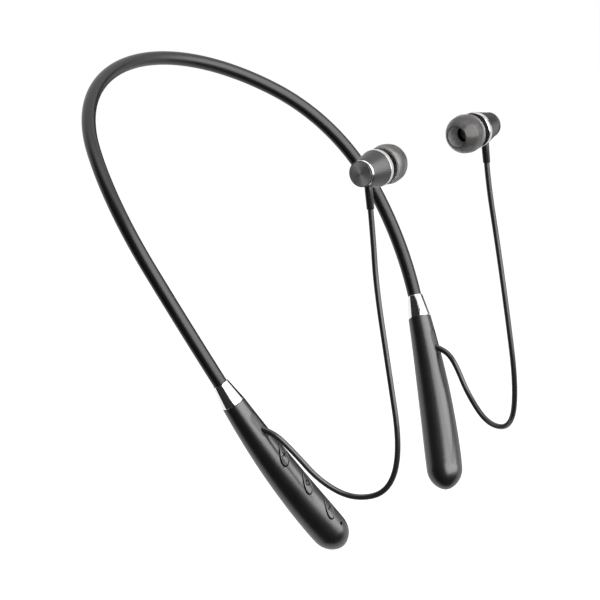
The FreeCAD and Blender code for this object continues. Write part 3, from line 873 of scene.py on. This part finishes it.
def build_caps():
    """The flat turned cap with its spigot, the gloss bezel round it and the ring behind it."""
    cap = rounded([
        (0.0, 0, 0), (0.0, CAP_RADIUS, 0.04), (CAP_BACK, CAP_RADIUS, 0), (CAP_BACK, 3.22, 0),
        (2.3, 3.22, 0), (2.3, 2.95, 0), (CAP_BACK, 2.95, 0), (CAP_BACK, 0, 0),
    ])
    bezel_bore = CAP_RADIUS + TRIM_GAP
    bezel = rounded([
        (0.06, bezel_bore, 0), (0.06, BEZEL_RADIUS, 0.12), (CAP_BACK, BEZEL_RADIUS, 0.1),
        (CAP_BACK, bezel_bore, 0),
    ])
    start = CAP_BACK + JOINT_GAP
    ring = rounded([
        (start, 3.28, 0), (start, 4.1, 0), (1.5, 4.6, 0.05), (1.5, 4.3, 0), (2.4, 3.9, 0),
        (2.4, 3.28, 0),
    ])
    for side in SIDES:
        bud_piece(side, "spun_cap", cap, shared(spun_cap_metal), ["bud_cap"])
        bud_piece(side, "cap_bezel", bezel, shared(glossy_black_plastic), [])
        bud_piece(side, "rear_ring", ring, shared(ring_metal), ["bud_rear_ring"])


def build_barrels():
    """The hollow barrel, the ring at its front, and the plate that carries the sound tube."""
    barrel = rounded([
        (2.45, 3.3, 0), (2.45, 4.0, 0), (1.55, 4.35, 0), (1.55, 4.64, 0.08), (5.2, 5.4, 6),
        (9.1, 6.26, 2), (BARREL_FRONT, BARREL_FRONT_RADIUS, 0.1), (BARREL_FRONT, 5.6, 0),
        (8.8, 5.55, 0), (2.85, 3.8, 0), (2.85, 3.3, 0),
    ])
    start = BARREL_FRONT + JOINT_GAP
    ring = rounded([
        (start, 5.05, 0), (start, FRONT_RING_RADIUS, 0.12), (11.2, FRONT_RING_RADIUS, 0.2),
        (FRONT_RING_END, 6.1, 0.05), (FRONT_RING_END, 5.05, 0),
    ])
    face = FRONT_RING_END + JOINT_GAP
    plate = rounded([
        (10.8, 5.0, 0), (face, 5.0, 0), (face, 6.0, 0.1), (12.4, 5.95, 0.3), (13.9, 5.2, 0.4),
        (14.1, NOZZLE_RADIUS, 0.2), (17.3, NOZZLE_RADIUS, 0), (17.5, NOZZLE_LIP_RADIUS, 0.1),
        (18.1, NOZZLE_LIP_RADIUS, 0.1), (NOZZLE_END, 2.5, 0.1),
        (NOZZLE_END, NOZZLE_BORE_RADIUS, 0), (13.0, NOZZLE_BORE_RADIUS, 0), (13.0, 3.4, 0),
        (10.8, 4.2, 0),
    ])
    for side in SIDES:
        bud_piece(side, "satin_barrel", barrel, shared(satin_gunmetal), ["bud_shell"])
        bud_piece(side, "front_ring", ring, shared(ring_metal), ["bud_front_ring"])
        bud_piece(side, "sound_nozzle", plate, shared(matte_black_plastic), ["bud_nozzle"])


def build_meshes():
    """A thin disc of mesh just inside the sound tube."""
    radius = NOZZLE_BORE_RADIUS - TRIM_GAP
    outline = [(17.6, 0), (17.6, radius), (17.8, radius), (17.8, 0)]
    for side in SIDES:
        bud_piece(side, "nozzle_mesh", outline, shared(woven_steel_mesh), ["bud_mesh"],
                  sides=48)


def build_tips():
    """A soft tip: a skirt with a rolled edge, a nose, and a sleeve that grips the sound tube."""
    outline = rounded([
        (TIP_EDGE, 5.9, 0.1), (TIP_EDGE, 6.45, 0.2), (14.85, 6.62, 0.2), (15.05, 6.36, 0.12),
        (15.35, 6.36, 0.12), (15.65, 6.68, 0.3), (17.4, TIP_RADIUS, 3), (20.2, 6.5, 4),
        (22.4, 5.2, 2.5), (23.7, 3.95, 0.2), (23.6, 3.45, 0.12), (19.3, 3.1, 0.3),
        (19.0, TIP_BORE_RADIUS, 0.3), (14.7, TIP_BORE_RADIUS, 0.2), (14.7, 3.6, 0.2),
        (21.4, 3.8, 0.4), (21.9, 4.4, 0.4), (20.0, 5.7, 3), (17.3, 6.32, 3), (15.6, 6.1, 1.5),
        (14.7, 5.8, 0.1),
    ])
    for side in SIDES:
        bud_piece(side, "silicone_tip", outline, shared(smoky_silicone), ["ear_tip"],
                  body=side + "_ear_tip", sharp=60)


def build_stems():
    """A stem takes up each cord's end and rises in line with it to the bud."""
    top = sizes().stem_diameter / 2 / MM
    for side, route in CORD_ROUTES.items():
        foot = Vector(route[-1])
        upward = (foot - Vector(route[-2])).normalized()
        length = (BUD_Z - foot.z) / upward.z - STEM_TOP
        outline = rounded([
            (0, 0, 0), (0, STEM_FOOT_RADIUS, 0.15), (length - STEM_NECK, top, 3),
            (length, top, 0), (length, 0, 0),
        ])
        vertices, faces = turned(outline, sides=64)
        turn = upward.to_track_quat("X", "Z").to_matrix().to_4x4()
        place = Matrix.Translation(foot * MM) @ turn
        stem = mesh_object(side + "_stem", vertices, faces, place, sharp=50)
        finish_piece(stem, shared(glossy_black_plastic), ROOT, [side + "_strain_relief"])


def cord_curve(name, route):
    """A smooth NURBS line through the route, as thick as the cord."""
    curve = bpy.data.curves.new(name, "CURVE")
    curve.dimensions = "3D"
    curve.bevel_depth = sizes().cord_diameter / 2
    curve.bevel_resolution = 10
    curve.resolution_u = 24
    curve.use_fill_caps = True
    spline = curve.splines.new("NURBS")
    spline.points.add(len(route) - 1)
    for point, (x, y, z) in zip(spline.points, route):
        point.co = (x * MM, y * MM, z * MM, 1)
    spline.order_u = 3
    spline.use_endpoint_u = True
    return new_object(name, curve)


def build_cords():
    for side, route in CORD_ROUTES.items():
        cord = cord_curve(side + "_bud_cord", route)
        finish_piece(cord, shared(cord_jacket), ROOT, [side + "_cord"])


def dress_inner_parts():
    slots = {row["node"]: row["material_slot"] for row in frame["record"]["subparts"]}
    for slot, material in inner_finishes().items():
        for node in (name for name, used in slots.items() if used == slot):
            dress_node(node, material)


# ---------------------------------------------------------------- stage
def place_camera():
    flat = math.cos(studio().elevation)
    back = Vector((math.sin(studio().azimuth) * flat, -math.cos(studio().azimuth) * flat,
                   math.sin(studio().elevation)))
    data = bpy.data.cameras.new("camera")
    data.sensor_width = 36.0
    data.lens = studio().focal_length
    data.clip_start = 0.01
    camera = new_object("camera", data)
    camera.location = Vector(studio().target) + back * studio().distance
    camera.rotation_euler = (-back).to_track_quat("-Z", "Y").to_euler()
    bpy.context.scene.camera = camera


def white_world():
    """White to the camera, in gloss and through glass, and a softer even light elsewhere."""
    world = bpy.data.worlds.new("studio_world")
    world.use_nodes = True
    tree = world.node_tree
    fill = tree.nodes["Background"]
    set_inputs(fill, {"Color": (1, 1, 1, 1), "Strength": studio().fill})
    white = tree.nodes.new("ShaderNodeBackground")
    set_inputs(white, {"Color": (1, 1, 1, 1), "Strength": 1.0})
    path = tree.nodes.new("ShaderNodeLightPath")
    seen = math_node(tree, "MAXIMUM", path.outputs["Is Camera Ray"],
                     path.outputs["Is Glossy Ray"])
    seen = math_node(tree, "MAXIMUM", seen, path.outputs["Is Transmission Ray"])
    blend = tree.nodes.new("ShaderNodeMixShader")
    tree.links.new(seen, blend.inputs[0])
    tree.links.new(fill.outputs[0], blend.inputs[1])
    tree.links.new(white.outputs[0], blend.inputs[2])
    tree.links.new(blend.outputs[0], tree.nodes["World Output"].inputs["Surface"])
    bpy.context.scene.world = world


def direction_at(turn, rise):
    """A direction from the headset: turned from the camera to its right, and raised."""
    axes = bpy.context.scene.camera.matrix_world.to_3x3()
    turn = math.radians(turn)
    rise = math.radians(rise)
    level = math.cos(rise)
    return (axes.col[2] * math.cos(turn) * level + axes.col[0] * math.sin(turn) * level
            + axes.col[1] * math.sin(rise))


def stage_sheet(name, points, faces, material):
    """A sheet for the studio, made with its material and not attached to the headset."""
    mesh = bpy.data.meshes.new(name)
    mesh.from_pydata(points, [], faces)
    mesh.materials.append(material)
    sheet = new_object(name, mesh)
    return sheet


def dark_cloth(name):
    """On the screens that only gloss reflects."""
    return matte_sheet(name, 0.008, 0.025)


def pale_floor(name):
    """On the floor, which shows white."""
    return matte_sheet(name, 0.8, 0.75)


def even_steps(start, end):
    """The angles of a screen's grid lines, from start to end."""
    return [start + (end - start) * step / SCREEN_STEPS for step in range(SCREEN_STEPS + 1)]


def dark_screen(name, turns, rises):
    """A curved dark screen that only gloss reflects, to give black pieces their dark side."""
    points = [direction_at(turn, rise) * SCREEN_RADIUS
              for turn in even_steps(*turns) for rise in even_steps(*rises)]
    per_column = SCREEN_STEPS + 1
    faces = []
    for column in range(SCREEN_STEPS):
        for row in range(SCREEN_STEPS):
            near = column * per_column + row
            far = near + per_column
            faces.append((near, near + 1, far + 1, far))
    screen = stage_sheet(name, points, faces, shared(dark_cloth))
    screen.location = CAD_CENTRE
    screen.visible_camera = False
    screen.visible_shadow = False
    screen.visible_diffuse = False
    screen.visible_transmission = False


def soft_box(name, direction, size, power):
    """A rectangular light that faces the headset."""
    outward = direction_at(*direction)
    data = bpy.data.lights.new(name, "AREA")
    data.shape = "RECTANGLE"
    data.size, data.size_y = size
    data.energy = power
    light = new_object(name, data)
    light.location = CAD_CENTRE + outward * LIGHT_DISTANCE
    light.rotation_euler = outward.to_track_quat("Z", "Y").to_euler()


def white_floor():
    """A floor well below the headset that takes its shadow. Most of its white is its own glow."""
    corners = [(-FLOOR_REACH, -FLOOR_REACH, 0), (FLOOR_REACH, -FLOOR_REACH, 0),
               (FLOOR_REACH, FLOOR_REACH, 0), (-FLOOR_REACH, FLOOR_REACH, 0)]
    floor = stage_sheet("pale_floor", corners, [(0, 1, 2, 3)], shared(pale_floor))
    floor.location.z = CAD_LOW.z - FLOOR_DROP
    floor.visible_glossy = False
    floor.visible_diffuse = False


def build_stage():
    place_camera()
    bpy.context.view_layer.update()  # the lights and screens are placed by the camera's axes
    white_world()
    for name, (turns, rises) in SCREENS.items():
        dark_screen(name, turns, rises)
    soft_box("key_light", KEY_LIGHT_DIRECTION, KEY_LIGHT_SIZE, studio().key)
    soft_box("top_light", TOP_LIGHT_DIRECTION, TOP_LIGHT_SIZE, studio().top)
    white_floor()
    bpy.context.scene.view_settings.view_transform = "Standard"


# ---------------------------------------------------------------- operators
class BuildStage(bpy.types.Operator):
    """Place the camera, the white surround, the dark screens, the soft boxes and the floor"""

    bl_idname = "earphones.stage"
    bl_label = "Studio"

    def execute(self, context):
        build_stage()
        return {"FINISHED"}


class BuildCords(bpy.types.Operator):
    """Hang the two cords from the pods to the buds"""

    bl_idname = "earphones.cords"
    bl_label = "Cords"

    def execute(self, context):
        build_cords()
        return {"FINISHED"}


class BuildBand(bpy.types.Operator):
    """Sweep the band's soft sleeve"""

    bl_idname = "earphones.band"
    bl_label = "Band"

    def execute(self, context):
        build_band()
        return {"FINISHED"}


class BuildCollars(bpy.types.Operator):
    """Turn the polished collars between the band and the pods"""

    bl_idname = "earphones.collars"
    bl_label = "Collars"

    def execute(self, context):
        build_collars()
        return {"FINISHED"}


class BuildPods(bpy.types.Operator):
    """Finish the moulded shells, the cord inserts and the port flap"""

    bl_idname = "earphones.pods"
    bl_label = "Pods"

    def execute(self, context):
        build_pods()
        build_inserts()
        return {"FINISHED"}


class BuildKeys(bpy.types.Operator):
    """Finish the three keys and lay their symbols on them"""

    bl_idname = "earphones.keys"
    bl_label = "Keys"

    def execute(self, context):
        build_keys()
        return {"FINISHED"}


class BuildBuds(bpy.types.Operator):
    """Turn the caps, barrels, rings, nozzles, meshes and stems of the buds"""

    bl_idname = "earphones.buds"
    bl_label = "Buds"

    def execute(self, context):
        build_caps()
        build_barrels()
        build_meshes()
        build_stems()
        return {"FINISHED"}


class BuildTips(bpy.types.Operator):
    """Mould the silicone ear tips"""

    bl_idname = "earphones.tips"
    bl_label = "Ear Tips"

    def execute(self, context):
        build_tips()
        return {"FINISHED"}


class DressInnerParts(bpy.types.Operator):
    """Finish the parts inside the band, the pods and the buds"""

    bl_idname = "earphones.inner_parts"
    bl_label = "Inner Parts"

    def execute(self, context):
        dress_inner_parts()
        return {"FINISHED"}


STEPS = (BuildStage, BuildCords, BuildBand, BuildCollars, BuildPods, BuildKeys, BuildBuds,
         BuildTips, DressInnerParts)


class EarphonePanel(bpy.types.Panel):
    """The sidebar panel with the build steps and what they read"""

    bl_idname = "VIEW3D_PT_earphones"
    bl_label = "Earphones"
    bl_space_type = "VIEW_3D"
    bl_region_type = "UI"
    bl_category = "Earphones"

    def draw(self, context):
        scene = context.scene
        for step in STEPS:
            self.layout.operator(step.bl_idname)
        for group in (scene.earphone_sizes, scene.earphone_colours, scene.earphone_studio):
            column = self.layout.column()
            for name in group.bl_rna.properties.keys():
                if name not in ("rna_type", "name"):
                    column.prop(group, name)


GROUPS = {"earphone_sizes": EarphoneSizes, "earphone_colours": EarphoneColours,
          "earphone_studio": EarphoneStudio}


def register():
    for entry in (*GROUPS.values(), *STEPS, EarphonePanel):
        bpy.utils.register_class(entry)
    for name, group in GROUPS.items():
        setattr(bpy.types.Scene, name, bpy.props.PointerProperty(type=group))


def unregister():
    for name in GROUPS:
        delattr(bpy.types.Scene, name)
    for entry in reversed((*GROUPS.values(), *STEPS, EarphonePanel)):
        bpy.utils.unregister_class(entry)


def main():
    register()
    for step in STEPS:
        area, name = step.bl_idname.split(".")
        getattr(getattr(bpy.ops, area), name)()


if __name__ == "__main__":
    main()
